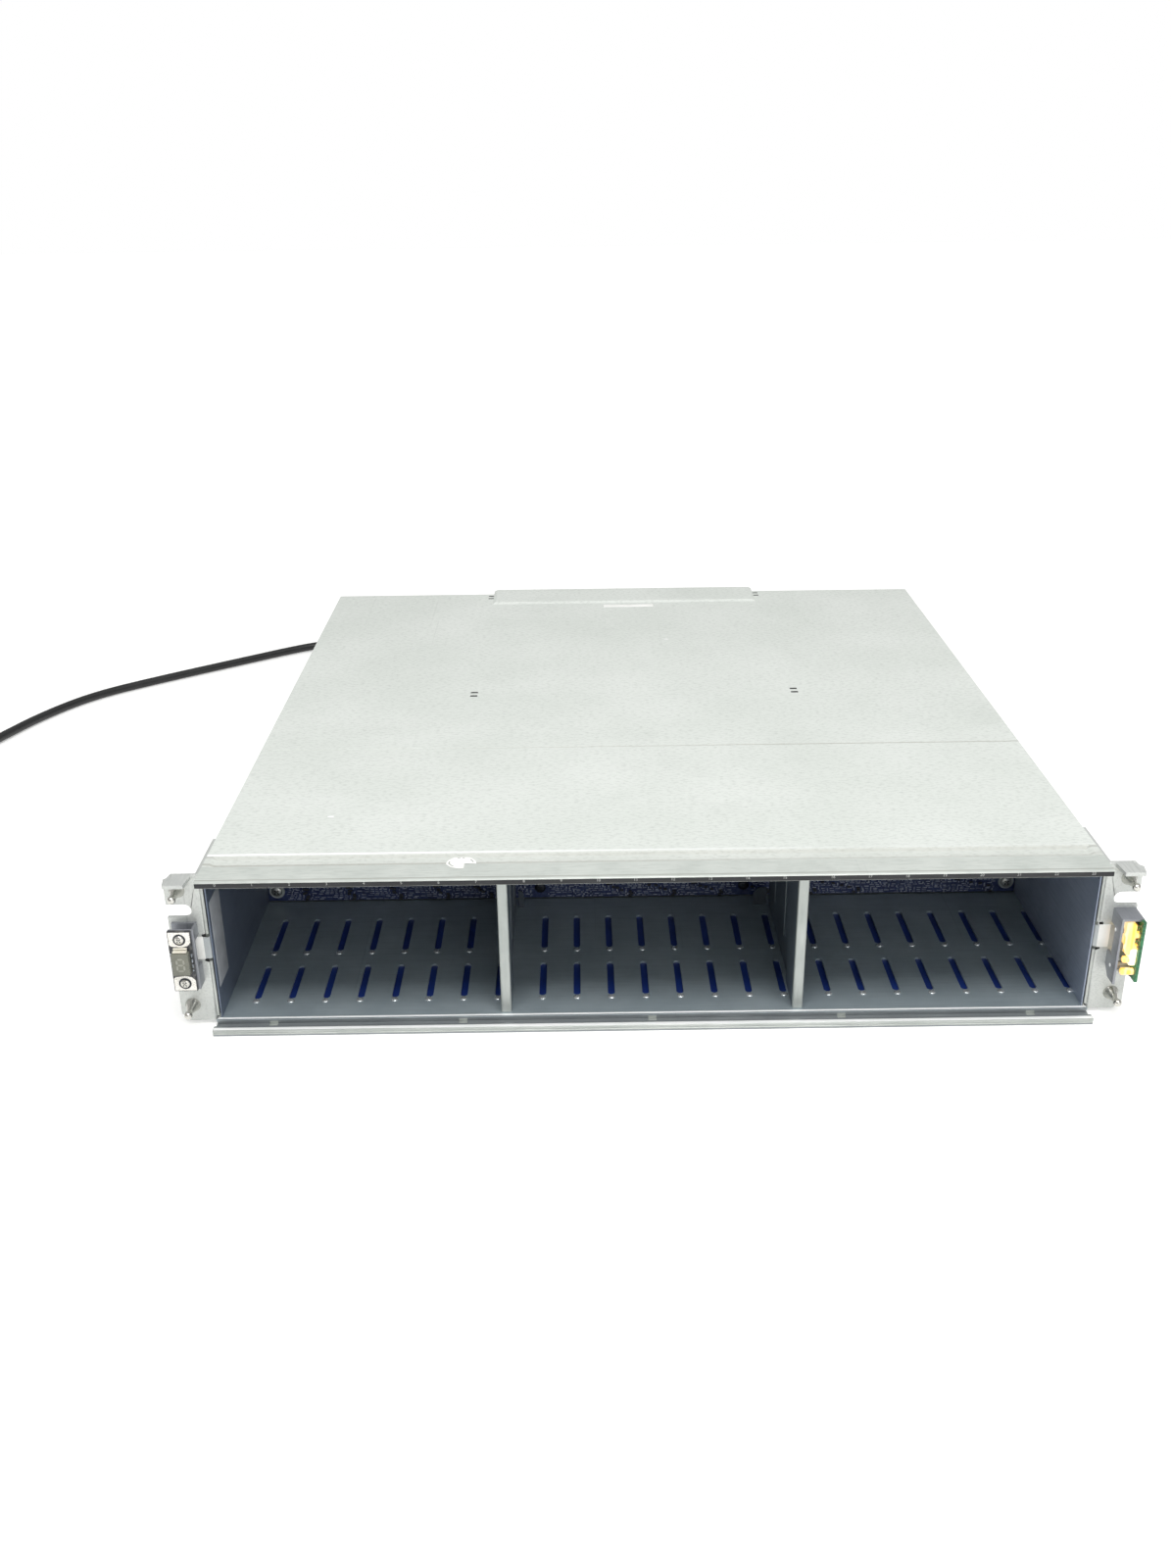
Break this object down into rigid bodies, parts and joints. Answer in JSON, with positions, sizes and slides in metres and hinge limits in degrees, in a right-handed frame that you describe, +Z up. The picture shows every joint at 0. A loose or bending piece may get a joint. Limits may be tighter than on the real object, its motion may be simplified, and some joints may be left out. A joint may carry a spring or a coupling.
{
  "type": "rack storage array",
  "caption": "Two-unit rack storage array with an empty slotted drive cage in front, rack ears with a display and lamps, and sliding power and controller modules behind.",
  "frame": {"origin": "underside of the pan, at mid-width, in the rack plane of the ears' rear faces", "axes": "+X right seen from the front, +Y to the rear, +Z up"},
  "size_m": [0.8231, 0.6181, 0.0882],
  "materials": {
    "zinc_steel": "rolled zinc-coated sheet",
    "ear_steel": "zinc-coated sheet",
    "bright_screw": "bright nickel plate",
    "port_steel": "bright plated shell",
    "blue_film": "deep blue film",
    "dark_board": "dark solder mask",
    "green_board": "green solder mask",
    "black_plastic": "moulded",
    "lever_plastic": "moulded",
    "display_block": "dark display window",
    "amber_guide": "clear amber, lit",
    "ribbon": "flat ribbon",
    "black_rubber": "matt"
  },
  "bodies": {
    "chassis": {"base_pan": "zinc_steel", "top_cover": "zinc_steel", "front_top_rail": "zinc_steel", "bay_floor": "zinc_steel", "bay_floor_film": "blue_film", "bay_ceiling": "zinc_steel", "left_bay_partition": "zinc_steel", "right_bay_partition": "zinc_steel", "left_cage_side": "zinc_steel", "right_cage_side": "zinc_steel", "midplane_board": "dark_board", "midplane_drive_sockets": "black_plastic", "midplane_module_sockets": "black_plastic", "midplane_frame": "zinc_steel", "midplane_screws": "bright_screw", "left_module_wall": "zinc_steel", "right_module_wall": "zinc_steel", "module_shelf": "zinc_steel", "left_ear": "ear_steel", "right_ear": "ear_steel", "ear_studs": "bright_screw", "ear_rivets": "bright_screw", "display_bracket": "ear_steel", "display_board": "green_board", "digit_display": "display_block", "status_bracket": "ear_steel", "status_board": "green_board", "status_lights": "amber_guide", "ear_board_screws": "bright_screw", "ribbon_cables": "ribbon"},
    "left_power_module": {"left_power_case": "zinc_steel", "left_power_panel": "zinc_steel", "left_power_entry": "black_plastic", "left_power_fan_frame": "black_plastic", "cord_connector": "black_rubber", "power_cord": "black_rubber", "power_cord_coil": "black_rubber", "cord_plug": "black_rubber"},
    "left_power_switch": {"left_power_rocker": "black_plastic"},
    "left_power_fan": {"left_power_fan_rotor": "black_plastic"},
    "left_power_handle": {"left_power_lever": "lever_plastic"},
    "right_power_module": {"right_power_case": "zinc_steel", "right_power_panel": "zinc_steel", "right_power_entry": "black_plastic", "right_power_fan_frame": "black_plastic"},
    "right_power_switch": {"right_power_rocker": "black_plastic"},
    "right_power_fan": {"right_power_fan_rotor": "black_plastic"},
    "right_power_handle": {"right_power_lever": "lever_plastic"},
    "lower_control_module": {"lower_control_case": "zinc_steel", "lower_control_panel": "zinc_steel", "lower_control_board": "green_board", "lower_control_ports": "port_steel"},
    "lower_control_left_handle": {"lower_control_left_lever": "lever_plastic"},
    "lower_control_right_handle": {"lower_control_right_lever": "lever_plastic"},
    "upper_control_module": {"upper_control_case": "zinc_steel", "upper_control_panel": "zinc_steel", "upper_control_board": "green_board", "upper_control_ports": "port_steel"},
    "upper_control_left_handle": {"upper_control_left_lever": "lever_plastic"},
    "upper_control_right_handle": {"upper_control_right_lever": "lever_plastic"}
  },
  "joints": [
    {"name": "left_power_slide", "type": "slide", "parent": "chassis", "child": "left_power_module", "axis": [0, 1, 0], "range_m": [0, 0.28]},
    {"name": "left_power_switch_tip", "type": "hinge", "parent": "left_power_module", "child": "left_power_switch", "pos_m": [-0.1977, 0.467, 0.0486], "axis": [1, 0, 0], "range_deg": [-18, 0]},
    {"name": "left_power_fan_spin", "type": "hinge", "parent": "left_power_module", "child": "left_power_fan", "pos_m": [-0.1477, 0.4558, 0.0366], "axis": [0, 1, 0], "continuous": true},
    {"name": "left_power_handle_swing", "type": "hinge", "parent": "left_power_module", "child": "left_power_handle", "pos_m": [-0.2097, 0.4722, 0.0769], "axis": [0, 0, 1], "range_deg": [0, 70]},
    {"name": "right_power_slide", "type": "slide", "parent": "chassis", "child": "right_power_module", "axis": [0, 1, 0], "range_m": [0, 0.28]},
    {"name": "right_power_switch_tip", "type": "hinge", "parent": "right_power_module", "child": "right_power_switch", "pos_m": [0.1285, 0.467, 0.0486], "axis": [1, 0, 0], "range_deg": [-18, 0]},
    {"name": "right_power_fan_spin", "type": "hinge", "parent": "right_power_module", "child": "right_power_fan", "pos_m": [0.1785, 0.4558, 0.0366], "axis": [0, 1, 0], "continuous": true},
    {"name": "right_power_handle_swing", "type": "hinge", "parent": "right_power_module", "child": "right_power_handle", "pos_m": [0.1165, 0.4722, 0.0769], "axis": [0, 0, 1], "range_deg": [0, 70]},
    {"name": "lower_control_slide", "type": "slide", "parent": "chassis", "child": "lower_control_module", "axis": [0, 1, 0], "range_m": [0, 0.28]},
    {"name": "lower_control_left_handle_swing", "type": "hinge", "parent": "lower_control_module", "child": "lower_control_left_handle", "pos_m": [-0.0945, 0.4722, 0.0091], "axis": [0, 0, 1], "range_deg": [0, 70]},
    {"name": "lower_control_right_handle_swing", "type": "hinge", "parent": "lower_control_module", "child": "lower_control_right_handle", "pos_m": [0.0945, 0.4722, 0.0091], "axis": [0, 0, -1], "range_deg": [0, 70]},
    {"name": "upper_control_slide", "type": "slide", "parent": "chassis", "child": "upper_control_module", "axis": [0, 1, 0], "range_m": [0, 0.28]},
    {"name": "upper_control_left_handle_swing", "type": "hinge", "parent": "upper_control_module", "child": "upper_control_left_handle", "pos_m": [-0.0945, 0.4722, 0.052], "axis": [0, 0, 1], "range_deg": [0, 70]},
    {"name": "upper_control_right_handle_swing", "type": "hinge", "parent": "upper_control_module", "child": "upper_control_right_handle", "pos_m": [0.0945, 0.4722, 0.052], "axis": [0, 0, -1], "range_deg": [0, 70]}
  ]
}
